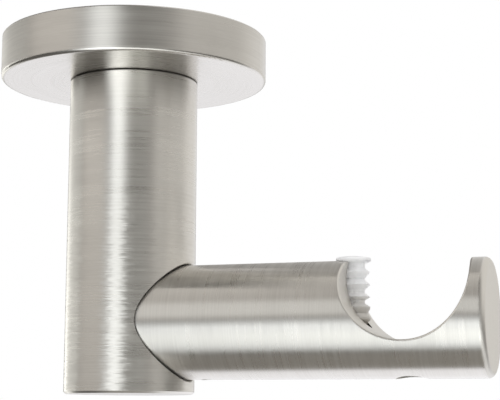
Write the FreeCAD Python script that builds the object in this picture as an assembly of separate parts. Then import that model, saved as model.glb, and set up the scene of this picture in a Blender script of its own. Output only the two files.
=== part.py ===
import FreeCAD, Part
import math
import os

from FreeCAD import Placement, Rotation, Vector

# Ceiling bracket for a curtain pole, in millimetres.
# The origin is on the ceiling, on the axis of the post.
# Z points up into the ceiling, X runs along the arm and Y along the pole.

# Driving dimensions

# Ceiling rose, the round cover against the ceiling
rose_diameter = 67.0
rose_wall = 1.8
rose_floor = 2.0
rose_edge_round = 0.9
rose_rim_break = 0.3
rose_hole_clearance = 0.3

# Fixing plate inside the rose
plate_gap = 0.8
plate_thickness = 3.0
screw_count = 3
screw_hole_diameter = 4.5
screw_head_diameter = 8.5
screw_edge_margin = 5.65

# Stud and lock nut that hold the post to the plate
stud_diameter = 8.0
stud_reach_into_post = 16.0
stud_hole_spare = 3.0
stud_end_chamfer = 0.8
nut_across_flats = 13.0
nut_thickness = 4.0
nut_face_diameter = 12.6
nut_corner_angle = 30.0
nut_space_below = 2.0
thread_clearance = 0.05

# Post
arm_drop = 72.1
post_cheek = 1.7
post_below_socket = 3.0
post_end_chamfer = 0.5
post_top_break = 0.25
hole_lead_in = 0.6
drill_tip_angle = 118.0

# Arm
arm_diameter = 28.0
socket_clearance = 0.4
socket_floor_reach = 3.0
socket_mouth_break = 0.3
arm_root_chamfer = 0.8
arm_tip_round = 1.5
lip_wall = 4.0

# Cup for the pole
cup_diameter = 30.0
cup_reach = 71.0
cup_floor = 8.5
cup_edge_round = 0.4

# Spigot that joins the arm to the post
spigot_diameter = 12.0
spigot_clearance = 0.05
spigot_bore_spare = 1.5
spigot_past_screw = 4.5
spigot_tail_diameter = 8.0
spigot_tail_length = 11.0
spigot_tail_spare = 1.5
spigot_chamfer = 0.8
spigot_seat_depth = 0.5

# Grub screw that locks the arm on its spigot
arm_screw_diameter = 3.0
arm_screw_from_post = 4.4
arm_screw_recess = 0.8
arm_screw_key = 1.5

# Grub screw under the cup
pole_screw_diameter = 6.0
pole_screw_below_cup = 0.3
pole_screw_pocket_diameter = 7.8
pole_screw_pocket_depth = 2.6
pole_screw_key = 3.0

screw_chamfer = 0.4
key_depth_share = 0.45

# Ribbed grip plug in the wall of the cup
plug_inset = 2.0
plug_radius = 3.3
plug_core_radius = 2.15
plug_clearance = 0.1
plug_nose_length = 3.25
plug_end_gap = 0.2
plug_rib_pitch = 2.95
plug_rib_count = 5
plug_valley_flat = 0.45
plug_head_radius = 4.15
plug_head_height = 0.85
plug_head_rim = 0.45
plug_head_overhang = 0.1

# Sizes that follow from the driving dimensions

# Cuts run past the surface by EXTRA, and edges are found to within EDGE_MATCH
EXTRA = 1.0
EDGE_MATCH = 0.001

rose_height = plate_thickness + nut_thickness + nut_space_below + rose_floor
rose_radius = rose_diameter / 2
arm_radius = arm_diameter / 2
cup_radius = cup_diameter / 2
socket_radius = arm_radius + socket_clearance
post_radius = socket_radius + post_cheek

post_top_z = -rose_height
arm_z = -arm_drop
post_bottom_z = arm_z - socket_radius - post_below_socket
arm_top_z = arm_z + arm_radius
arm_bottom_z = arm_z - arm_radius

plate_radius = rose_radius - rose_wall - plate_gap
screw_circle_radius = plate_radius - screw_edge_margin - screw_head_diameter / 2

stud_bottom_z = post_top_z - stud_reach_into_post
stud_hole_bottom_z = stud_bottom_z - stud_hole_spare

cup_bottom_z = arm_bottom_z + cup_floor
cup_z = cup_bottom_z + cup_radius
arm_reach = cup_reach + cup_radius + lip_wall

arm_screw_x = post_radius + arm_screw_from_post
spigot_end_x = arm_screw_x + arm_screw_diameter / 2 + spigot_past_screw
spigot_seat_z = arm_z - spigot_diameter / 2 + spigot_seat_depth

plug_x = cup_reach - cup_radius + plug_inset
plug_pocket_radius = plug_radius + plug_clearance
plug_end_z = arm_top_z - plug_rib_count * plug_rib_pitch - plug_nose_length
plug_pocket_floor_z = plug_end_z - plug_end_gap
plug_top_z = arm_top_z + plug_head_height
plug_head_x = plug_x + plug_radius + plug_head_overhang - plug_head_radius

Z_AXIS = Vector(0, 0, 1)
HEX_SIDES = 6


# Helpers

def rod(radius, start, end):
    """A plain round bar between two points."""
    along = end - start
    return Part.makeCylinder(radius, along.Length, start, along)


def cone(start_radius, end_radius, start, end):
    """A round taper between two points."""
    along = end - start
    return Part.makeCone(start_radius, end_radius, along.Length, start, along)


def turned(profile, centre):
    """A solid turned about a vertical axis from (radius, height) points."""
    points = [Vector(r, 0, z) for r, z in profile]
    face = Part.Face(Part.makePolygon(points + points[:1]))
    solid = face.revolve(Vector(0, 0, 0), Z_AXIS, 360)
    solid.translate(centre)
    return solid


def hex_corner(across_flats):
    """How far a hexagon's corners lie from its centre."""
    return across_flats / 2 / math.cos(math.pi / HEX_SIDES)


def hexagon(across_flats, start, along):
    """A hexagonal prism from a start point, as long and in the direction of along."""
    corner = hex_corner(across_flats)
    points = []
    for side in range(HEX_SIDES + 1):
        angle = 2 * math.pi * side / HEX_SIDES
        points.append(Vector(corner * math.cos(angle), corner * math.sin(angle), 0))
    prism = Part.Face(Part.makePolygon(points)).extrude(Vector(0, 0, along.Length))
    prism.Placement = Placement(start, Rotation(Z_AXIS, along))
    return prism


def circle_edges(shape, radius, centre):
    """The full circular edges of a radius whose centre is at a point."""
    found = []
    for edge in shape.Edges:
        curve = edge.Curve
        if isinstance(curve, Part.Circle) and abs(curve.Radius - radius) < EDGE_MATCH:
            if (curve.Center - centre).Length < EDGE_MATCH:
                found.append(edge)
    return found


def points_on(edge):
    """Three points spread along an edge."""
    first, last = edge.ParameterRange
    return [edge.valueAt(first + share * (last - first)) for share in (0.2, 0.5, 0.8)]


def grub_screw(diameter, key, tip, end):
    """A headless screw from its tip to the end that takes the hexagon key."""
    axis = end - tip
    screw = rod(diameter / 2, tip, end)
    rims = circle_edges(screw, diameter / 2, tip) + circle_edges(screw, diameter / 2, end)
    screw = screw.makeChamfer(screw_chamfer, rims)
    depth = axis.Length * key_depth_share
    inward = axis * (-depth / axis.Length)
    return screw.cut(hexagon(key, end, inward))


# Ceiling rose

def make_ceiling_rose():
    """A turned cup, open against the ceiling, with a hole for the stud."""
    rose = Part.makeCylinder(rose_radius, rose_height, Vector(0, 0, -rose_height))
    lower_rim = circle_edges(rose, rose_radius, Vector(0, 0, -rose_height))
    rose = rose.makeFillet(rose_edge_round, lower_rim)
    upper_rim = circle_edges(rose, rose_radius, Vector(0, 0, 0))
    rose = rose.makeChamfer(rose_rim_break, upper_rim)
    hollow_depth = rose_height - rose_floor
    hollow = Part.makeCylinder(rose_radius - rose_wall, hollow_depth + EXTRA, Vector(0, 0, -hollow_depth))
    hole_radius = stud_diameter / 2 + rose_hole_clearance
    hole = rod(hole_radius, Vector(0, 0, -rose_height - EXTRA), Vector(0, 0, EXTRA))
    return rose.cut(hollow).cut(hole)


# Fixing plate

def make_fixing_plate():
    """A steel disc with countersunk screw holes and a tapped hole for the stud."""
    plate = Part.makeCylinder(plate_radius, plate_thickness, Vector(0, 0, -plate_thickness))
    tapped_radius = stud_diameter / 2 + thread_clearance
    tapped = rod(tapped_radius, Vector(0, 0, -plate_thickness - EXTRA), Vector(0, 0, EXTRA))
    plate = plate.cut(tapped)
    sink_depth = (screw_head_diameter - screw_hole_diameter) / 2
    for number in range(screw_count):
        angle = 2 * math.pi * number / screw_count
        x = screw_circle_radius * math.cos(angle)
        y = screw_circle_radius * math.sin(angle)
        hole = rod(screw_hole_diameter / 2, Vector(x, y, -plate_thickness - EXTRA), Vector(x, y, EXTRA))
        sink_bottom = Vector(x, y, -plate_thickness)
        sink_top = Vector(x, y, sink_depth - plate_thickness)
        sink = cone(screw_head_diameter / 2, screw_hole_diameter / 2, sink_bottom, sink_top)
        plate = plate.cut(hole).cut(sink)
    return plate


# Stud and lock nut

def make_post_stud():
    """A threaded stud from the plate down into the post."""
    top = Vector(0, 0, 0)
    bottom = Vector(0, 0, stud_bottom_z)
    stud = rod(stud_diameter / 2, bottom, top)
    rims = circle_edges(stud, stud_diameter / 2, top) + circle_edges(stud, stud_diameter / 2, bottom)
    return stud.makeChamfer(stud_end_chamfer, rims)


def make_stud_nut():
    """A thin hexagon nut under the plate, with its lower corners turned off."""
    top = Vector(0, 0, -plate_thickness)
    nut = hexagon(nut_across_flats, top, Vector(0, 0, -nut_thickness))
    face_radius = nut_face_diameter / 2
    wide = hex_corner(nut_across_flats) + EXTRA
    rise = (wide - face_radius) * math.tan(math.radians(nut_corner_angle))
    low = -plate_thickness - nut_thickness
    profile = [(0, low), (face_radius, low), (wide, low + rise), (wide, EXTRA), (0, EXTRA)]
    envelope = turned(profile, Vector(0, 0, 0))
    bore = rod(stud_diameter / 2 + thread_clearance, Vector(0, 0, low - EXTRA), Vector(0, 0, EXTRA))
    return nut.common(envelope).cut(bore)


# Post

def make_post():
    """A turned bar, tapped at the top and bored across for the arm."""
    top = Vector(0, 0, post_top_z)
    bottom = Vector(0, 0, post_bottom_z)
    post = rod(post_radius, bottom, top)
    post = post.makeChamfer(post_end_chamfer, circle_edges(post, post_radius, bottom))
    post = post.makeChamfer(post_top_break, circle_edges(post, post_radius, top))

    stud_radius = stud_diameter / 2 + thread_clearance
    hole_bottom = Vector(0, 0, stud_hole_bottom_z)
    stud_hole = rod(stud_radius, hole_bottom, Vector(0, 0, post_top_z + EXTRA))
    drill_depth = stud_radius / math.tan(math.radians(drill_tip_angle / 2))
    drill_tip = cone(0, stud_radius, Vector(0, 0, stud_hole_bottom_z - drill_depth), hole_bottom)
    lead_in = cone(stud_radius, stud_radius + hole_lead_in, Vector(0, 0, post_top_z - hole_lead_in), top)
    post = post.cut(stud_hole).cut(drill_tip).cut(lead_in)

    socket = rod(socket_radius, Vector(socket_floor_reach, 0, arm_z), Vector(post_radius + EXTRA, 0, arm_z))
    post = post.cut(socket)
    mouth = [edge for edge in post.Edges if is_socket_mouth(edge)]
    post = post.makeChamfer(socket_mouth_break, mouth)

    tail_radius = spigot_tail_diameter / 2 + thread_clearance
    tail_floor = Vector(socket_floor_reach - spigot_tail_length - spigot_tail_spare, 0, arm_z)
    tail_hole = rod(tail_radius, tail_floor, Vector(socket_floor_reach + EXTRA, 0, arm_z))
    return post.cut(tail_hole)


def is_socket_mouth(edge):
    """Whether an edge is where the socket breaks out through the round of the post."""
    for point in points_on(edge):
        from_post = math.hypot(point.x, point.y) - post_radius
        from_socket = math.hypot(point.y, point.z - arm_z) - socket_radius
        if abs(from_post) > EDGE_MATCH or abs(from_socket) > EDGE_MATCH:
            return False
    return True


# Arm

def make_arm():
    """A turned bar with a cup cut across it, a plug pocket and screw holes."""
    root = Vector(socket_floor_reach, 0, arm_z)
    tip = Vector(arm_reach, 0, arm_z)
    arm = rod(arm_radius, root, tip)
    arm = arm.makeFillet(arm_tip_round, circle_edges(arm, arm_radius, tip))
    arm = arm.makeChamfer(arm_root_chamfer, circle_edges(arm, arm_radius, root))

    to_side = Vector(0, arm_radius + EXTRA, 0)
    cup_centre = Vector(cup_reach, 0, cup_z)
    arm = arm.cut(rod(cup_radius, cup_centre - to_side, cup_centre + to_side))
    arm = arm.makeFillet(cup_edge_round, [edge for edge in arm.Edges if is_cup_rim(edge)])

    pocket_floor = Vector(plug_x, 0, plug_pocket_floor_z)
    arm = arm.cut(rod(plug_pocket_radius, pocket_floor, Vector(plug_x, 0, arm_top_z + EXTRA)))

    bore_radius = spigot_diameter / 2 + spigot_clearance
    bore_end = Vector(spigot_end_x + spigot_bore_spare, 0, arm_z)
    bore = rod(bore_radius, Vector(socket_floor_reach - EXTRA, 0, arm_z), bore_end)
    lead_in_end = Vector(socket_floor_reach + hole_lead_in, 0, arm_z)
    lead_in = cone(bore_radius + hole_lead_in, bore_radius, root, lead_in_end)
    arm = arm.cut(bore).cut(lead_in)

    arm_screw_hole = rod(
        arm_screw_diameter / 2 + thread_clearance,
        Vector(arm_screw_x, 0, arm_bottom_z - EXTRA),
        Vector(arm_screw_x, 0, arm_z),
    )
    pole_screw_hole = rod(
        pole_screw_diameter / 2 + thread_clearance,
        Vector(cup_reach, 0, arm_bottom_z - EXTRA),
        Vector(cup_reach, 0, cup_z),
    )
    pole_screw_pocket = rod(
        pole_screw_pocket_diameter / 2,
        Vector(cup_reach, 0, arm_bottom_z - EXTRA),
        Vector(cup_reach, 0, arm_bottom_z + pole_screw_pocket_depth),
    )
    return arm.cut(arm_screw_hole).cut(pole_screw_hole).cut(pole_screw_pocket)


def is_cup_rim(edge):
    """Whether an edge is where the cup breaks out through the round of the arm."""
    for point in points_on(edge):
        from_arm = math.hypot(point.y, point.z - arm_z) - arm_radius
        from_cup = math.hypot(point.x - cup_reach, point.z - cup_z) - cup_radius
        if abs(from_arm) > EDGE_MATCH or abs(from_cup) > EDGE_MATCH:
            return False
    return True


# Spigot

def make_arm_spigot():
    """A steel peg screwed into the post, on which the arm slides."""
    shoulder = Vector(socket_floor_reach, 0, arm_z)
    end = Vector(spigot_end_x, 0, arm_z)
    tail_end = Vector(socket_floor_reach - spigot_tail_length, 0, arm_z)
    body = rod(spigot_diameter / 2, shoulder, end)
    body = body.makeChamfer(spigot_chamfer, circle_edges(body, spigot_diameter / 2, end))
    tail = rod(spigot_tail_diameter / 2, tail_end, shoulder)
    tail = tail.makeChamfer(spigot_chamfer, circle_edges(tail, spigot_tail_diameter / 2, tail_end))
    spigot = body.fuse(tail)
    seat_radius = arm_screw_diameter / 2 + thread_clearance
    seat = rod(seat_radius, Vector(arm_screw_x, 0, arm_bottom_z), Vector(arm_screw_x, 0, spigot_seat_z))
    return spigot.cut(seat)


# Grub screws

def make_arm_lock_screw():
    """The grub screw under the arm, tight on its seat in the spigot."""
    tip = Vector(arm_screw_x, 0, spigot_seat_z)
    end = Vector(arm_screw_x, 0, arm_bottom_z + arm_screw_recess)
    return grub_screw(arm_screw_diameter, arm_screw_key, tip, end)


def make_pole_lock_screw():
    """The grub screw under the cup, just below where the pole lies."""
    tip = Vector(cup_reach, 0, cup_bottom_z - pole_screw_below_cup)
    end = Vector(cup_reach, 0, arm_bottom_z + pole_screw_pocket_depth)
    return grub_screw(pole_screw_diameter, pole_screw_key, tip, end)


# Grip plug

def make_grip_plug():
    """A ribbed plastic plug with an offset head that lies on the arm."""
    half_pitch = plug_rib_pitch / 2
    half_valley = plug_valley_flat / 2
    profile = [(0, arm_top_z), (plug_radius, arm_top_z)]
    for rib in range(1, plug_rib_count + 1):
        tip_z = arm_top_z - rib * plug_rib_pitch
        valley_z = tip_z + half_pitch
        profile.append((plug_core_radius, valley_z + half_valley))
        profile.append((plug_core_radius, valley_z - half_valley))
        if rib < plug_rib_count:
            profile.append((plug_radius, tip_z))
    profile.append((plug_core_radius, plug_end_z))
    profile.append((0, plug_end_z))
    body = turned(profile, Vector(plug_x, 0, 0))

    slope = plug_head_height - plug_head_rim
    profile = [
        (0, arm_top_z),
        (plug_head_radius, arm_top_z),
        (plug_head_radius, arm_top_z + plug_head_rim),
        (plug_head_radius - slope, plug_top_z),
        (0, plug_top_z),
    ]
    head = turned(profile, Vector(plug_head_x, 0, 0))
    return body.fuse(head).removeSplitter()


# Export

MAKERS = {
    "ceiling_rose": make_ceiling_rose,
    "fixing_plate": make_fixing_plate,
    "post_stud": make_post_stud,
    "stud_nut": make_stud_nut,
    "post": make_post,
    "arm": make_arm,
    "arm_spigot": make_arm_spigot,
    "arm_lock_screw": make_arm_lock_screw,
    "pole_lock_screw": make_pole_lock_screw,
    "grip_plug": make_grip_plug,
}


def main():
    os.makedirs("parts", exist_ok=True)
    for node, make in MAKERS.items():
        shape = make()
        print(node, shape.ShapeType, len(shape.Solids), shape.isValid(), round(shape.Volume, 2))
        shape.exportStep("parts/" + node + ".step")


main()
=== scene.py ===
import math

import bpy
from mathutils import Matrix, Vector


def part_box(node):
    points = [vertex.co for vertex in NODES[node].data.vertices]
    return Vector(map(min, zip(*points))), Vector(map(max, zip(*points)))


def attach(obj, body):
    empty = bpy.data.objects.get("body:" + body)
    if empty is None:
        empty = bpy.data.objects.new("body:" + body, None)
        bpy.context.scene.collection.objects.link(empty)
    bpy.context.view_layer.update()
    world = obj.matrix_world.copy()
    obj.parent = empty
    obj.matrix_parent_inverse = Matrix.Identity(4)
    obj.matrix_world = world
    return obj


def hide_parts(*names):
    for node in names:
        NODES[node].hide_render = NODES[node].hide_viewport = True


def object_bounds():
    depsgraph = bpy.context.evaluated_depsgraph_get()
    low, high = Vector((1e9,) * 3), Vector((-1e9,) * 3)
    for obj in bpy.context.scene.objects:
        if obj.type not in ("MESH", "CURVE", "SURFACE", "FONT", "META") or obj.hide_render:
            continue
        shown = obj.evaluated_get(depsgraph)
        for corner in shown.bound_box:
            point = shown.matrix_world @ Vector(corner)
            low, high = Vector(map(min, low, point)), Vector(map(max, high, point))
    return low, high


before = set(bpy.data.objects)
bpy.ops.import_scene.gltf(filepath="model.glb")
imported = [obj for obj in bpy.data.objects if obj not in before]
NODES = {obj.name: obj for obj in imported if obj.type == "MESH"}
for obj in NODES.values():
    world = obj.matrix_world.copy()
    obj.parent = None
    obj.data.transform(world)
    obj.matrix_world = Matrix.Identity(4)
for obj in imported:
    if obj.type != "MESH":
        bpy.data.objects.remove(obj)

# Looks of a ceiling bracket for a curtain pole. Every length is in metres.
# The post and the ceiling rose are turned about Z through the origin, and the arm about a line along X.

CAD_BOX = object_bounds()

# Places that follow from the solids
ARM_LOW, ARM_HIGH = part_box("arm")
ARM_AXIS_HEIGHT = (ARM_LOW.z + ARM_HIGH.z) / 2
ARM_RADIUS = (ARM_HIGH.z - ARM_LOW.z) / 2
POST_CENTRE = (0.0, 0.0, 0.0)
ARM_CENTRE = (0.0, 0.0, ARM_AXIS_HEIGHT)

# Camera, found from the edges of the object in the photograph
CAMERA_PLACE = Vector((0.13699, -0.33361, -0.09694))
CAMERA_YAW = math.radians(17.608)
CAMERA_PITCH = math.radians(8.870)
CAMERA_ROLL = math.radians(0.269)
CAMERA_LENS = 103.97
CAMERA_SENSOR = 36.0
CAMERA_NEAREST = 0.01

# Floor
FLOOR_HEIGHT = -0.9
FLOOR_SIZE = 40.0
FLOOR_COLOUR = (0.90, 0.90, 0.90, 1.0)
FLOOR_ROUGHNESS = 0.8

# Soft lamp, with its angles round from the front and above the object
LAMP_AROUND = math.radians(-15)
LAMP_ABOVE = math.radians(20)
LAMP_DISTANCE = 1.2
LAMP_WIDTH = 0.8
LAMP_LEVEL = 0.3

# Light level that soft surfaces get from all round, and the white behind the object
FILL_COLOUR = (0.92, 0.92, 0.94, 1.0)
WHITE = (1.0, 1.0, 1.0, 1.0)

# Colours of the finishes
NICKEL = (0.75, 0.73, 0.695, 1.0)
NICKEL_DEEP = (0.675, 0.655, 0.62, 1.0)
# The rose's nickel is a darker copy of the post's nickel, painted shade that makes the rose read darker
SHADED_ROSE_NICKEL = (0.695, 0.675, 0.64, 1.0)
SHADED_ROSE_NICKEL_DEEP = (0.62, 0.60, 0.57, 1.0)
ZINC = (0.66, 0.665, 0.67, 1.0)
ZINC_DULL = (0.53, 0.535, 0.53, 1.0)
BLACK_STEEL = (0.045, 0.045, 0.048, 1.0)
BLACK_STEEL_RUBBED = (0.13, 0.13, 0.13, 1.0)
NYLON = (0.93, 0.93, 0.925, 1.0)
NYLON_CLOUDY = (0.88, 0.885, 0.885, 1.0)
# Painted shade of the plug deep in its pocket
NYLON_POCKET_SHADE = (0.62, 0.595, 0.545, 1.0)

# Roughness of the nickel on the brushed faces, and on the flat faces and edges that aren't brushed
ROSE_ROUGHNESS = (0.31, 0.26)
POST_ROUGHNESS = (0.30, 0.30)
ARM_ROUGHNESS = (0.30, 0.46)

# Roughness of the other finishes, from their lowest to their highest
ZINC_ROUGHNESS = (0.30, 0.38)
NYLON_ROUGHNESS = (0.30, 0.42)

# Nearly all of a noise lies between the first two levels. A soft cloud fills in between the other two.
NOISE_LOW = 0.3
NOISE_HIGH = 0.7
CLOUD_STARTS = 0.35
CLOUD_FULL = 0.65

# A turned surface is made of layers. Each has how fine its lines are beside the finish's own, how often
# it changes on the way round, and its finer detail.
LINE_LAYER = (1.0, 1.0, 2.0)
GROOVE_LAYER = (0.8, 0.6, 1.0)
CLOUD_LAYER = (0.1, 0.6, 2.0)
SHORT_SCRATCH_LAYER = (1.6, 7.0, 2.0)
GROOVE_STARTS = 0.58
GROOVE_FULL = 0.76
GROOVE_DEPTH = -0.2

# How far a face turns towards the axis, from 0 to 1, where the brushing starts to fade and where it has
# gone. The arm is brushed from just below its outside, so the cup cut into it stays smooth.
BRUSHED_FACING = 0.15
SMOOTH_FACING = 0.3
ARM_SKIN_STARTS = ARM_RADIUS - 0.0002
ARM_SKIN_FULL = ARM_RADIUS - 0.00005

# How strong the lines are on smooth faces, and how far lines and clouds change the roughness
SMOOTH_FACE_LINES = 0.2
LINE_ROUGHNESS = 0.03
CLOUD_ROUGHNESS = 0.015

# A quarter turn spreads the highlight along the axis, across the brush lines
QUARTER_TURN = 0.25

# The narrow shadow where the post meets the ceiling rose. The post's flat top stays out of it.
SEAM_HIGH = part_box("post")[1].z
SEAM_LOW = SEAM_HIGH - 0.0006
SEAM_SHADE = (0.055, 0.05, 0.044, 1.0)
TOP_FACE_STARTS = 0.8
TOP_FACE_FULL = 0.95

# The post's brush lines are fine below the ceiling rose and heavier beside the arm. Each has its height,
# how deep the lines are there, and how far their short scratches tilt the surface sideways.
POST_FINE_LINES = (-0.030, 0.6, 0.03)
POST_HEAVY_LINES = (-0.060, 2.0, 0.26)

# Scratches in a plating run two ways, each with its turn and its scale along the scratch. Both are tilted.
SCRATCH_WAYS = ((0.5, 0.05), (2.1, 0.07))
SCRATCH_TILT = (0.3, 0.2)
SCRATCH_STARTS = 0.66
SCRATCH_FULL = 0.76
SCRATCH_SHINE = 0.5
SCRATCH_ROUGHNESS = 0.08
ZINC_CLOUD_DEPTH = 0.1

# Threads, and how far along their axis they run
M3_PITCH = 0.0005
M6_PITCH = 0.001
M8_PITCH = 0.00125
M8_RADIUS = 0.004
SPIGOT_TAIL_END = 0.0028
WHOLE_SCREW = 0.1

# A thread shows outside this share of the radius, is this share of its pitch deep, and leaves end faces out
THREAD_INSIDE = 0.8
THREAD_DEPTH = 0.45
THREAD_FACING = 0.4
END_FACING = 0.6

# Where the steel of a screw is rubbed, and how far the rubbing changes its roughness
RUBBED_STARTS = 0.42
RUBBED_FULL = 0.68
RUBBED_ROUGHNESS = 0.06

# The plug is milky white at the top, and painted shade greys it more and more lower down in its pocket.
PLUG_UNSHADED_HEIGHT = ARM_HIGH.z - 0.0055
PLUG_FULL_SHADE_HEIGHT = ARM_HIGH.z - 0.0140


# Shader helpers

def add_node(tree, kind, inputs=None, **settings):
    """A node with its settings, and its inputs given as values or linked to other sockets."""
    made = tree.nodes.new(kind)
    for name, value in settings.items():
        setattr(made, name, value)
    for key, value in (inputs or {}).items():
        if isinstance(value, bpy.types.NodeSocket):
            tree.links.new(value, made.inputs[key])
        else:
            made.inputs[key].default_value = value
    return made


def maths(tree, operation, *values):
    """The result of a maths node."""
    made = add_node(tree, "ShaderNodeMath", dict(enumerate(values)), operation=operation)
    return made.outputs[0]


def vector_maths(tree, operation, *values):
    """The vector result of a vector maths node."""
    made = add_node(tree, "ShaderNodeVectorMath", dict(enumerate(values)), operation=operation)
    return made.outputs[0]


def scaled(tree, vector, scale):
    """A vector made longer or shorter."""
    return add_node(tree, "ShaderNodeVectorMath", {0: vector, "Scale": scale}, operation="SCALE").outputs[0]


def height_of(tree, position):
    """How far along Z a position is."""
    return add_node(tree, "ShaderNodeSeparateXYZ", {0: position}).outputs["Z"]


def flattened(tree, position):
    """A position moved along Z to height nought."""
    return vector_maths(tree, "MULTIPLY", position, (1.0, 1.0, 0.0))


def length_of(tree, vector):
    """The length of a vector. For a flattened position, it is the distance from the Z axis."""
    made = add_node(tree, "ShaderNodeVectorMath", {0: vector}, operation="LENGTH")
    return made.outputs["Value"]


def smooth_step(tree, value, start, end, low=0.0, high=1.0):
    """A value that goes smoothly from low at start to high at end."""
    inputs = {"Value": value, "From Min": start, "From Max": end, "To Min": low, "To Max": high}
    made = add_node(tree, "ShaderNodeMapRange", inputs, interpolation_type="SMOOTHSTEP")
    return made.outputs[0]


def spread(tree, pattern, low, high):
    """A noise spread smoothly between low and high."""
    return smooth_step(tree, pattern, NOISE_LOW, NOISE_HIGH, low, high)


def mix(tree, data_type, ending, factor, first, second):
    """A mix node's result: the first value where the factor is 0, the second where it is 1."""
    made = add_node(tree, "ShaderNodeMix", data_type=data_type)
    sockets = {"Factor_Float": factor, "A_" + ending: first, "B_" + ending: second}
    for socket in made.inputs:
        if socket.identifier in sockets:
            value = sockets[socket.identifier]
            if isinstance(value, bpy.types.NodeSocket):
                tree.links.new(value, socket)
            else:
                socket.default_value = value
    return next(s for s in made.outputs if s.identifier == "Result_" + ending)


def mix_colour(tree, factor, first, second):
    """The first colour where the factor is 0, the second where it is 1."""
    return mix(tree, "RGBA", "Color", factor, first, second)


def mix_value(tree, factor, first, second):
    """The first number where the factor is 0, the second where it is 1."""
    return mix(tree, "FLOAT", "Float", factor, first, second)


def noise(tree, place, scale, detail):
    """A soft noise between 0 and 1."""
    inputs = {"Vector": place, "Scale": scale, "Detail": detail, "Roughness": 0.6}
    return add_node(tree, "ShaderNodeTexNoise", inputs).outputs["Fac"]


# Studio

def studio_zone(tree, around, above, centre, half_width, soft, low, high, soft_height):
    """A soft-edged patch of the studio, in degrees around and above the object."""
    turned = maths(tree, "SUBTRACT", around, centre)
    turned = maths(tree, "WRAP", turned, 180.0, -180.0)
    off_centre = maths(tree, "ABSOLUTE", turned)
    across = smooth_step(tree, off_centre, half_width - soft, half_width + soft, 1.0, 0.0)
    over = smooth_step(tree, above, low - soft_height, low + soft_height)
    under = smooth_step(tree, above, high - soft_height, high + soft_height, 1.0, 0.0)
    upright = maths(tree, "MULTIPLY", over, under)
    return maths(tree, "MULTIPLY", across, upright)


# Each zone has its middle in degrees around from the front, positive to the right, its half width and
# soft edge, its lowest and highest degree above the horizon and their soft edge, and its colour.
FRONT_ROOM = (0.24, 0.23, 0.218, 1.0)
STUDIO_ZONES = [
    ("left wall", -55, 27, 12, 0, 91, 9, (1.06, 1.02, 0.965, 1.0)),
    ("left panel", -109, 30, 10, -30, 10, 8, (1.82, 1.82, 1.74, 1.0)),
    ("right wall", 119, 63, 20, -10, 91, 8, (0.85, 0.83, 0.79, 1.0)),
    ("low sides", 0, 125, 10, -91, -2, 7, (0.105, 0.10, 0.092, 1.0)),
    ("right floor", 90, 55, 10, -66, -34, 6, (0.95, 0.95, 0.93, 1.0)),
    ("back wall", 180, 7, 14, 0, 91, 8, (1.04, 1.04, 1.04, 1.0)),
    ("floor behind", 180, 38, 10, -65, -7, 5, (1.13, 1.13, 1.17, 1.0)),
    ("upper soft box", -5, 11, 10, 5, 34, 8, (1.29, 1.32, 1.31, 1.0)),
    ("low soft box", -7, 18, 14, -63, -6, 12, (2.50, 2.59, 2.63, 1.0)),
    ("right reflector", 23, 26, 10, -48, -24, 8, (1.85, 1.90, 1.84, 1.0)),
    ("under the object", 0, 190, 5, -91, -67, 8, (0.31, 0.29, 0.26, 1.0)),
]


def build_world():
    """Soft panels for metal to reflect, even light for the rest, and white where it is seen directly."""
    world = bpy.data.worlds.new("studio")
    bpy.context.scene.world = world
    world.use_nodes = True
    tree = world.node_tree
    tree.nodes.clear()
    direction = tree.nodes.new("ShaderNodeTexCoord").outputs["Generated"]
    parts = add_node(tree, "ShaderNodeSeparateXYZ", {0: direction})
    forward = maths(tree, "MULTIPLY", parts.outputs["Y"], -1.0)
    around = maths(tree, "DEGREES", maths(tree, "ARCTAN2", parts.outputs["X"], forward))
    above = maths(tree, "DEGREES", maths(tree, "ARCSINE", parts.outputs["Z"]))
    colour = FRONT_ROOM
    for name, centre, half_width, soft, low, high, soft_height, zone_colour in STUDIO_ZONES:
        mask = studio_zone(tree, around, above, centre, half_width, soft, low, high, soft_height)
        mask.node.label = name
        colour = mix_colour(tree, mask, colour, zone_colour)
    rays = tree.nodes.new("ShaderNodeLightPath").outputs
    colour = mix_colour(tree, rays["Is Diffuse Ray"], colour, FILL_COLOUR)
    seen = maths(tree, "MAXIMUM", rays["Is Camera Ray"], rays["Is Transmission Ray"])
    colour = mix_colour(tree, seen, colour, WHITE)
    background = add_node(tree, "ShaderNodeBackground", {"Color": colour, "Strength": 1.0})
    output = tree.nodes.new("ShaderNodeOutputWorld")
    tree.links.new(background.outputs[0], output.inputs["Surface"])


def build_lamp():
    """A soft lamp in front of the object, which shapes the pale plug and isn't mirrored by the metal."""
    direction = Vector((
        math.sin(LAMP_AROUND) * math.cos(LAMP_ABOVE),
        -math.cos(LAMP_AROUND) * math.cos(LAMP_ABOVE),
        math.sin(LAMP_ABOVE),
    ))
    data = bpy.data.lights.new("soft_lamp", "AREA")
    data.shape = "RECTANGLE"
    data.size = LAMP_WIDTH
    data.size_y = LAMP_WIDTH
    data.energy = LAMP_LEVEL * math.pi * LAMP_WIDTH * LAMP_WIDTH
    lamp = bpy.data.objects.new("soft_lamp", data)
    centre = (CAD_BOX[0] + CAD_BOX[1]) / 2
    lamp.location = centre + direction * LAMP_DISTANCE
    lamp.rotation_euler = direction.to_track_quat("Z", "Y").to_euler()
    lamp.visible_camera = False
    lamp.visible_glossy = False
    bpy.context.scene.collection.objects.link(lamp)


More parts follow.
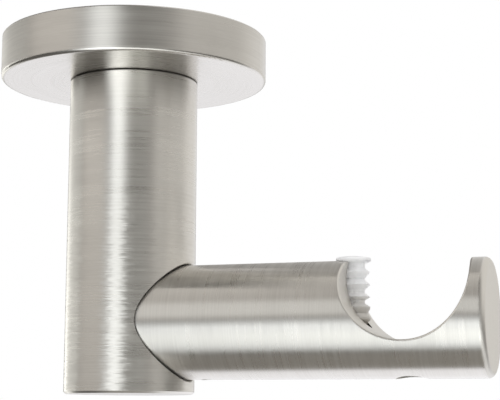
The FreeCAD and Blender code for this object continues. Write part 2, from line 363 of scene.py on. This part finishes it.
def build_floor():
    """A plain pale floor far below the ceiling bracket."""
    bpy.ops.object.select_all(action="DESELECT")
    bpy.ops.mesh.primitive_plane_add(size=FLOOR_SIZE, location=(0, 0, FLOOR_HEIGHT))
    floor = bpy.context.object
    floor.name = "floor"
    floor.visible_glossy = False
    floor.visible_shadow = False
    material = bpy.data.materials.new("pale_floor")
    material.use_nodes = True
    shader = material.node_tree.nodes["Principled BSDF"]
    shader.inputs["Base Color"].default_value = FLOOR_COLOUR
    shader.inputs["Roughness"].default_value = FLOOR_ROUGHNESS
    floor.data.materials.append(material)


def build_camera():
    """The photograph's camera, a little below the object and looking up at it."""
    data = bpy.data.cameras.new("camera")
    data.lens = CAMERA_LENS
    data.sensor_width = CAMERA_SENSOR
    data.clip_start = CAMERA_NEAREST
    camera = bpy.data.objects.new("camera", data)
    turn = Matrix.Rotation(CAMERA_YAW, 4, "Z")
    tilt = Matrix.Rotation(math.pi / 2 + CAMERA_PITCH, 4, "X")
    roll = Matrix.Rotation(CAMERA_ROLL, 4, "Z")
    camera.matrix_world = Matrix.Translation(CAMERA_PLACE) @ turn @ tilt @ roll
    bpy.context.scene.collection.objects.link(camera)
    bpy.context.scene.camera = camera


# Effects that several finishes share

def new_group(name, inputs, outputs):
    """A shader node group with float outputs, then what it is given and what it has to put out."""
    group = bpy.data.node_groups.new(name, "ShaderNodeTree")
    for socket_name, kind, value in inputs:
        socket = group.interface.new_socket(socket_name, in_out="INPUT", socket_type=kind)
        if value is not None:
            socket.default_value = value
    for socket_name in outputs:
        group.interface.new_socket(socket_name, in_out="OUTPUT", socket_type="NodeSocketFloat")
    entry = group.nodes.new("NodeGroupInput")
    leave = group.nodes.new("NodeGroupOutput")
    return group, entry.outputs, leave.inputs


def use_group(tree, group, inputs):
    """The outputs of a node group that is set up with these inputs."""
    return add_node(tree, "ShaderNodeGroup", inputs, node_tree=group).outputs


def build_turned_lines():
    """Fine lines that run round a turned piece, on its round and on its flat faces."""
    inputs = [
        ("Position", "NodeSocketVector", None),
        ("Lines", "NodeSocketFloat", 2000.0),
        ("Arc", "NodeSocketFloat", 1.0),
    ]
    tree, given, made = new_group("turned_lines", inputs, ["Line", "Groove", "Cloud", "Scratch"])
    flat = flattened(tree, given["Position"])
    heading = vector_maths(tree, "NORMALIZE", flat)
    along = maths(tree, "ADD", height_of(tree, given["Position"]), length_of(tree, flat))

    def lines(layer):
        fineness, turns, detail = layer
        packed = maths(tree, "MULTIPLY", along, maths(tree, "MULTIPLY", given["Lines"], fineness))
        stretched = scaled(tree, heading, maths(tree, "MULTIPLY", given["Arc"], turns))
        level = add_node(tree, "ShaderNodeCombineXYZ", {"Z": packed})
        return noise(tree, vector_maths(tree, "ADD", stretched, level.outputs[0]), 1.0, detail)

    tree.links.new(lines(LINE_LAYER), made["Line"])
    grooves = smooth_step(tree, lines(GROOVE_LAYER), GROOVE_STARTS, GROOVE_FULL)
    tree.links.new(grooves, made["Groove"])
    tree.links.new(lines(CLOUD_LAYER), made["Cloud"])
    tree.links.new(lines(SHORT_SCRATCH_LAYER), made["Scratch"])
    return tree


def build_plating():
    """Clouds in a plating, and fine short scratches that run two ways over it."""
    inputs = [
        ("Position", "NodeSocketVector", None),
        ("Clouds", "NodeSocketFloat", 110.0),
        ("Scratches", "NodeSocketFloat", 2600.0),
    ]
    tree, given, made = new_group("plating", inputs, ["Cloud", "Scratch"])
    tree.links.new(noise(tree, given["Position"], given["Clouds"], 4.0), made["Cloud"])
    marks = []
    for turn, stretch in SCRATCH_WAYS:
        turned = add_node(tree, "ShaderNodeMapping", {
            "Vector": given["Position"],
            "Rotation": (*SCRATCH_TILT, turn),
            "Scale": (stretch, 1.0, 1.0),
        })
        mark = noise(tree, turned.outputs[0], given["Scratches"], 1.0)
        marks.append(smooth_step(tree, mark, SCRATCH_STARTS, SCRATCH_FULL))
    tree.links.new(maths(tree, "MAXIMUM", *marks), made["Scratch"])
    return tree


def build_screw_thread():
    """How high a screw's surface stands, round an upright line and outside a radius."""
    inputs = [
        ("Position", "NodeSocketVector", None),
        ("Pitch", "NodeSocketFloat", M8_PITCH),
        ("Inside", "NodeSocketFloat", THREAD_INSIDE * M8_RADIUS),
    ]
    tree, given, made = new_group("screw_thread", inputs, ["Height"])
    parts = add_node(tree, "ShaderNodeSeparateXYZ", {0: given["Position"]}).outputs
    angle = maths(tree, "DIVIDE", maths(tree, "ARCTAN2", parts["Y"], parts["X"]), 2 * math.pi)
    turns = maths(tree, "DIVIDE", parts["Z"], given["Pitch"])
    flank = maths(tree, "PINGPONG", maths(tree, "SUBTRACT", turns, angle), 0.5)
    flank = maths(tree, "MULTIPLY", flank, 2.0)
    radius = length_of(tree, flattened(tree, given["Position"]))
    outside = maths(tree, "GREATER_THAN", radius, given["Inside"])
    tree.links.new(maths(tree, "MULTIPLY", flank, outside), made["Height"])
    return tree


# Materials

def new_material(name):
    """An empty node material, and the tree to fill."""
    material = bpy.data.materials.new(name)
    material.use_nodes = True
    tree = material.node_tree
    tree.nodes.clear()
    return material, tree


def finish_material(tree, shader):
    """Joins the shader to the material's output."""
    output = tree.nodes.new("ShaderNodeOutputMaterial")
    tree.links.new(shader.outputs[0], output.inputs["Surface"])


def position_about(tree, turned_about, centre):
    """Object coordinates with the axis as Z, the direction round it, and how far a face turns to it."""
    place = tree.nodes.new("ShaderNodeTexCoord").outputs["Object"]
    place = vector_maths(tree, "SUBTRACT", place, centre)
    if turned_about == "Z":
        axis = (0.0, 0.0, 1.0)
        position = place
    else:
        axis = (1.0, 0.0, 0.0)
        parts = add_node(tree, "ShaderNodeSeparateXYZ", {0: place}).outputs
        turned = add_node(tree, "ShaderNodeCombineXYZ", {"X": parts["Y"], "Y": parts["Z"], "Z": parts["X"]})
        position = turned.outputs[0]
    round_it = vector_maths(tree, "NORMALIZE", vector_maths(tree, "CROSS_PRODUCT", axis, place))
    normal = tree.nodes.new("ShaderNodeNewGeometry").outputs["Normal"]
    facing = add_node(tree, "ShaderNodeVectorMath", {0: normal, 1: axis}, operation="DOT_PRODUCT")
    return position, round_it, maths(tree, "ABSOLUTE", facing.outputs["Value"])


def seam_shadow(tree, height, facing):
    """Where the shadow under the ceiling rose falls on the post."""
    seam = smooth_step(tree, height, SEAM_LOW, SEAM_HIGH)
    seam = maths(tree, "MULTIPLY", seam, maths(tree, "LESS_THAN", height, SEAM_HIGH))
    off_top_face = smooth_step(tree, facing, TOP_FACE_STARTS, TOP_FACE_FULL, 1.0, 0.0)
    return maths(tree, "MULTIPLY", seam, off_top_face)


def brushed_nickel(name, turned_about, turned_lines, lines, arc, colours, roughness, relief_strength,
                   post_lines=None):
    """Satin nickel, brushed round the piece and smooth on its flat faces, edges and bore.

    The post's fine and heavy lines also bring the shadow of its seam.
    """
    material, tree = new_material(name)
    centre = ARM_CENTRE if turned_about == "X" else POST_CENTRE
    position, round_it, facing = position_about(tree, turned_about, centre)
    brushed = smooth_step(tree, facing, BRUSHED_FACING, SMOOTH_FACING, 1.0, 0.0)
    if turned_about == "X":
        radius = length_of(tree, flattened(tree, position))
        outside = smooth_step(tree, radius, ARM_SKIN_STARTS, ARM_SKIN_FULL)
        brushed = maths(tree, "MULTIPLY", brushed, outside)

    pattern = use_group(tree, turned_lines, {"Position": position, "Lines": lines, "Arc": arc})
    strength = mix_value(tree, brushed, SMOOTH_FACE_LINES, 1.0)
    if post_lines:
        (fine_height, fine, fine_tilt), (heavy_height, heavy, heavy_tilt) = post_lines
        height = height_of(tree, position)
        weight = smooth_step(tree, height, heavy_height, fine_height, heavy, fine)
        relief_strength = maths(tree, "MULTIPLY", weight, relief_strength)
        strength = maths(tree, "MULTIPLY", strength, maths(tree, "MINIMUM", weight, 1.0))
    shade = maths(tree, "MULTIPLY", spread(tree, pattern["Line"], 1.0, 0.0), strength)
    nickel, deep_nickel = colours
    colour = mix_colour(tree, shade, nickel, deep_nickel)
    if post_lines:
        colour = mix_colour(tree, seam_shadow(tree, height, facing), colour, SEAM_SHADE)

    line_rough = spread(tree, pattern["Line"], -LINE_ROUGHNESS, LINE_ROUGHNESS)
    cloud_rough = spread(tree, pattern["Cloud"], -CLOUD_ROUGHNESS, CLOUD_ROUGHNESS)
    change = maths(tree, "ADD", line_rough, cloud_rough)
    brushed_rough, smooth_rough = roughness
    rough = maths(tree, "ADD", mix_value(tree, brushed, smooth_rough, brushed_rough), change)

    depth = maths(tree, "ADD", pattern["Line"], maths(tree, "MULTIPLY", pattern["Groove"], GROOVE_DEPTH))
    depth = maths(tree, "MULTIPLY", depth, strength)
    relief = add_node(tree, "ShaderNodeBump", {
        "Strength": relief_strength,
        "Distance": 0.0001,
        "Height": depth,
    })
    normal = relief.outputs["Normal"]
    if post_lines:
        tilt = smooth_step(tree, height, heavy_height, fine_height, heavy_tilt, fine_tilt)
        tilt = maths(tree, "MULTIPLY", tilt, brushed)
        tilt = maths(tree, "MULTIPLY", tilt, maths(tree, "SUBTRACT", pattern["Scratch"], 0.5))
        sideways = scaled(tree, round_it, tilt)
        normal = vector_maths(tree, "NORMALIZE", vector_maths(tree, "ADD", normal, sideways))
    shader = add_node(tree, "ShaderNodeBsdfPrincipled", {
        "Base Color": colour,
        "Metallic": 1.0,
        "Roughness": rough,
        "Anisotropic": brushed,
        "Anisotropic Rotation": QUARTER_TURN,
        "Tangent": round_it,
        "Normal": normal,
    })
    finish_material(tree, shader)
    return material


def zinc_plated(name, plating, clouds, scratches):
    """Bright zinc on pressed steel, with dull clouds and light scratches."""
    material, tree = new_material(name)
    place = tree.nodes.new("ShaderNodeTexCoord").outputs["Object"]
    pattern = use_group(tree, plating, {"Position": place, "Clouds": clouds, "Scratches": scratches})
    dull = smooth_step(tree, pattern["Cloud"], CLOUD_STARTS, CLOUD_FULL)
    colour = mix_colour(tree, dull, ZINC, ZINC_DULL)
    colour = mix_colour(tree, maths(tree, "MULTIPLY", pattern["Scratch"], SCRATCH_SHINE), colour, NICKEL)
    rough = spread(tree, pattern["Cloud"], *ZINC_ROUGHNESS)
    rough = maths(tree, "ADD", rough, maths(tree, "MULTIPLY", pattern["Scratch"], SCRATCH_ROUGHNESS))
    cloud_depth = maths(tree, "MULTIPLY", pattern["Cloud"], ZINC_CLOUD_DEPTH)
    depth = maths(tree, "SUBTRACT", cloud_depth, pattern["Scratch"])
    relief = add_node(tree, "ShaderNodeBump", {"Strength": 0.15, "Distance": 0.0001, "Height": depth})
    shader = add_node(tree, "ShaderNodeBsdfPrincipled", {
        "Base Color": colour,
        "Metallic": 1.0,
        "Roughness": rough,
        "Normal": relief.outputs["Normal"],
    })
    finish_material(tree, shader)
    return material


def threaded_steel(name, groups, turned_about, centre, radius, pitch, thread_end, colours, roughness):
    """A steel screw whose thread shows as relief on its round side, below a height along its axis."""
    material, tree = new_material(name)
    plating, thread = groups
    position, _, facing = position_about(tree, turned_about, centre)
    wear = use_group(tree, plating, {"Position": position, "Clouds": 400.0, "Scratches": 3000.0})
    inside = THREAD_INSIDE * radius
    cut = use_group(tree, thread, {"Position": position, "Pitch": pitch, "Inside": inside})["Height"]
    height = height_of(tree, position)
    cut = maths(tree, "MULTIPLY", cut, maths(tree, "LESS_THAN", height, thread_end))
    cut = maths(tree, "MULTIPLY", cut, smooth_step(tree, facing, THREAD_FACING, END_FACING, 1.0, 0.0))
    plain, worn = colours
    rubbed = smooth_step(tree, wear["Cloud"], RUBBED_STARTS, RUBBED_FULL)
    colour = mix_colour(tree, maths(tree, "MAXIMUM", rubbed, wear["Scratch"]), plain, worn)
    rough = spread(tree, wear["Cloud"], roughness + RUBBED_ROUGHNESS, roughness - RUBBED_ROUGHNESS)
    relief = add_node(tree, "ShaderNodeBump", {
        "Strength": 1.0,
        "Distance": THREAD_DEPTH * pitch,
        "Height": cut,
    })
    shader = add_node(tree, "ShaderNodeBsdfPrincipled", {
        "Base Color": colour,
        "Metallic": 1.0,
        "Roughness": rough,
        "Normal": relief.outputs["Normal"],
    })
    finish_material(tree, shader)
    return material


def milky_nylon():
    """Milky translucent plastic, a little cloudy, with the faint skin that a mould leaves."""
    material, tree = new_material("milky_nylon")
    place = tree.nodes.new("ShaderNodeTexCoord").outputs["Object"]
    cloud = noise(tree, place, scale=500.0, detail=2.0)
    skin = noise(tree, place, scale=6000.0, detail=2.0)
    colour = mix_colour(tree, smooth_step(tree, cloud, CLOUD_STARTS, CLOUD_FULL), NYLON, NYLON_CLOUDY)
    # Painted shade: the plug turns greyer lower down in its pocket
    pocket_shade = smooth_step(tree, height_of(tree, place), PLUG_FULL_SHADE_HEIGHT, PLUG_UNSHADED_HEIGHT, 1.0, 0.0)
    colour = mix_colour(tree, pocket_shade, colour, NYLON_POCKET_SHADE)
    rough = spread(tree, skin, *NYLON_ROUGHNESS)
    relief = add_node(tree, "ShaderNodeBump", {"Strength": 0.1, "Distance": 0.00005, "Height": skin})
    shader = add_node(tree, "ShaderNodeBsdfPrincipled", {
        "Base Color": colour,
        "Roughness": rough,
        "Subsurface Weight": 0.8,
        "Subsurface Radius": (1.0, 1.0, 1.0),
        "Subsurface Scale": 0.0012,
        "Normal": relief.outputs["Normal"],
    })
    finish_material(tree, shader)
    return material


# Ribbed plug

PLUG_SIDES = 96
ARM_SIDES = 256

# Where the upright middle lines of the plug, its head and its pocket cross the X axis
PLUG_AXIS = 0.0579
PLUG_HEAD_AXIS = 0.05705
PLUG_POCKET_AXIS = 0.058

# How far the ribs run back into the pocket
PLUG_DEEPER = 0.0011

# The forms that trim the plug to its pocket and its head to the arm: the pocket's radius and both lengths
PLUG_POCKET_FIT = 0.00335
POCKET_FORM_LENGTH = 0.05
ARM_FORM_LENGTH = 0.02

# The plug's edges are rounded where they are sharper than an angle, and points closer than a sliver merge
PLUG_ROUNDING = 0.00006
PLUG_SHARP = math.radians(25)
PLUG_SMOOTH = math.radians(30)
PLUG_SLIVER = 0.000001

# Radius and height of each ring, from the foot up, with the heights measured from the top of the arm
PLUG_BODY_RINGS = [
    (0.0017, -0.0180),
    (0.0020, -0.0177),
    (0.0020, -0.0152),
    (0.0031, -0.0141),
    (0.0031, -0.0135),
    (0.0024, -0.0125),
    (0.0030, -0.0116),
    (0.0031, -0.0110),
    (0.0018, -0.0102),
    (0.0018, -0.0095),
    (0.0031, -0.0087),
    (0.0018, -0.0077),
    (0.0018, -0.0070),
    (0.0031, -0.00575),
    (0.0017, -0.0044),
    (0.0031, -0.0028),
    (0.0019, -0.0018),
    (0.0019, -0.0006),
    (0.0032, -0.0001),
]
PLUG_HEAD_RINGS = [
    (0.0033, -0.0009),
    (0.00395, -0.0003),
    (0.00415, 0.0),
    (0.00415, 0.0005),
    (0.0038, 0.00068),
    (0.0029, 0.00082),
    (0.0017, 0.00093),
    (0.0006, 0.00097),
]


def turned_shape(name, axis, rings):
    """A closed turned shape about an upright line, drawn up ring by ring from its foot."""
    radius, height = rings[0]
    bpy.ops.object.select_all(action="DESELECT")
    bpy.ops.mesh.primitive_circle_add(
        vertices=PLUG_SIDES, radius=radius, fill_type="NGON", location=(axis, 0, ARM_HIGH.z + height)
    )
    shape = bpy.context.object
    shape.name = name
    bpy.ops.object.mode_set(mode="EDIT")
    bpy.ops.mesh.select_all(action="SELECT")
    for next_radius, next_height in rings[1:]:
        grow = next_radius / radius
        rise = (0, 0, next_height - height)
        centre = (axis, 0, ARM_HIGH.z + next_height)
        bpy.ops.mesh.extrude_region_move(TRANSFORM_OT_translate={"value": rise})
        bpy.ops.transform.resize(value=(grow, grow, 1), center_override=centre)
        radius, height = next_radius, next_height
    bpy.ops.mesh.select_all(action="SELECT")
    bpy.ops.mesh.normals_make_consistent(inside=False)
    bpy.ops.object.mode_set(mode="OBJECT")
    bpy.ops.object.transform_apply(location=True, rotation=True, scale=True)
    return shape


def make_active(piece):
    """Selects one piece alone, and makes it the one that operators change."""
    bpy.ops.object.select_all(action="DESELECT")
    piece.select_set(True)
    bpy.context.view_layer.objects.active = piece


def combine(piece, other, operation):
    """Joins the other shape to a piece, cuts it away or keeps what both share, and removes the other."""
    make_active(piece)
    modifier = piece.modifiers.new(operation.lower(), "BOOLEAN")
    modifier.operation = operation
    modifier.solver = "EXACT"
    modifier.object = other
    bpy.ops.object.modifier_apply(modifier=modifier.name)
    bpy.data.objects.remove(other)


def round_edges(piece):
    """Rounds the sharp edges a little, and merges the slivers that the rounding leaves."""
    make_active(piece)
    rounding = piece.modifiers.new("rounding", "BEVEL")
    rounding.width = PLUG_ROUNDING
    rounding.segments = 2
    rounding.limit_method = "ANGLE"
    rounding.angle_limit = PLUG_SHARP
    bpy.ops.object.modifier_apply(modifier=rounding.name)
    bpy.ops.object.mode_set(mode="EDIT")
    bpy.ops.mesh.select_all(action="SELECT")
    bpy.ops.mesh.remove_doubles(threshold=PLUG_SLIVER)
    bpy.ops.mesh.dissolve_degenerate(threshold=PLUG_SLIVER)
    bpy.ops.object.mode_set(mode="OBJECT")
    bpy.ops.object.shade_smooth_by_angle(angle=PLUG_SMOOTH)


def build_ribbed_plug(material):
    """The soft plug beside the cup: ribs that run back into the pocket, and a low domed head on the arm."""
    plug = turned_shape("ribbed_plug", PLUG_AXIS, PLUG_BODY_RINGS)
    back = turned_shape("plug_back", PLUG_AXIS - PLUG_DEEPER, PLUG_BODY_RINGS)
    combine(plug, back, "UNION")
    bpy.ops.object.select_all(action="DESELECT")
    bpy.ops.mesh.primitive_cylinder_add(
        vertices=PLUG_SIDES, radius=PLUG_POCKET_FIT, depth=POCKET_FORM_LENGTH,
        location=(PLUG_POCKET_AXIS, 0, ARM_AXIS_HEIGHT),
    )
    pocket_form = bpy.context.object
    combine(plug, pocket_form, "INTERSECT")

    head = turned_shape("plug_head", PLUG_HEAD_AXIS, PLUG_HEAD_RINGS)
    bpy.ops.object.select_all(action="DESELECT")
    bpy.ops.mesh.primitive_cylinder_add(
        vertices=ARM_SIDES, radius=ARM_RADIUS, depth=ARM_FORM_LENGTH,
        location=(PLUG_HEAD_AXIS, 0, ARM_AXIS_HEIGHT), rotation=(0, math.pi / 2, 0),
    )
    arm_form = bpy.context.object
    combine(head, arm_form, "DIFFERENCE")
    combine(plug, head, "UNION")

    round_edges(plug)
    plug.data.materials.clear()
    plug.data.materials.append(material)
    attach(plug, "root")
    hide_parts("grip_plug")


def dress(node, material):
    """Gives a solid from the frame its finish."""
    piece = NODES[node]
    piece.data.materials.clear()
    piece.data.materials.append(material)


def main():
    bpy.context.scene.view_settings.view_transform = "Standard"
    build_world()
    build_lamp()
    build_floor()
    build_camera()

    turned_lines = build_turned_lines()
    plating = build_plating()
    thread = build_screw_thread()

    nickel = (NICKEL, NICKEL_DEEP)
    # The rose takes the darker copy of the nickel, which is painted shade
    shaded_rose_nickel = (SHADED_ROSE_NICKEL, SHADED_ROSE_NICKEL_DEEP)
    dress("ceiling_rose", brushed_nickel(
        "shaded_rose_nickel", "Z", turned_lines, lines=2100.0, arc=1.2, colours=shaded_rose_nickel,
        roughness=ROSE_ROUGHNESS, relief_strength=0.05,
    ))
    dress("post", brushed_nickel(
        "post_nickel", "Z", turned_lines, lines=1900.0, arc=0.7, colours=nickel,
        roughness=POST_ROUGHNESS, relief_strength=0.06, post_lines=(POST_FINE_LINES, POST_HEAVY_LINES),
    ))
    dress("arm", brushed_nickel(
        "arm_nickel", "X", turned_lines, lines=2000.0, arc=0.7, colours=nickel,
        roughness=ARM_ROUGHNESS, relief_strength=0.05,
    ))

    dress("fixing_plate", zinc_plated("plate_zinc", plating, clouds=110.0, scratches=2600.0))
    dress("stud_nut", zinc_plated("nut_zinc", plating, clouds=260.0, scratches=3200.0))
    groups = (plating, thread)
    zinc = (ZINC, ZINC_DULL)
    dress("post_stud", threaded_steel(
        "stud_zinc", groups, "Z", POST_CENTRE, M8_RADIUS, M8_PITCH, WHOLE_SCREW, zinc, roughness=0.32,
    ))
    dress("arm_spigot", threaded_steel(
        "spigot_zinc", groups, "X", ARM_CENTRE, M8_RADIUS, M8_PITCH, SPIGOT_TAIL_END, zinc, roughness=0.32,
    ))
    black = (BLACK_STEEL, BLACK_STEEL_RUBBED)
    for node, pitch in (("arm_lock_screw", M3_PITCH), ("pole_lock_screw", M6_PITCH)):
        low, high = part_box(node)
        centre = ((low.x + high.x) / 2, (low.y + high.y) / 2, 0.0)
        radius = (high.x - low.x) / 2
        dress(node, threaded_steel(
            node + "_steel", groups, "Z", centre, radius, pitch, WHOLE_SCREW, black, roughness=0.42,
        ))

    nylon = milky_nylon()
    dress("grip_plug", nylon)
    build_ribbed_plug(nylon)


main()
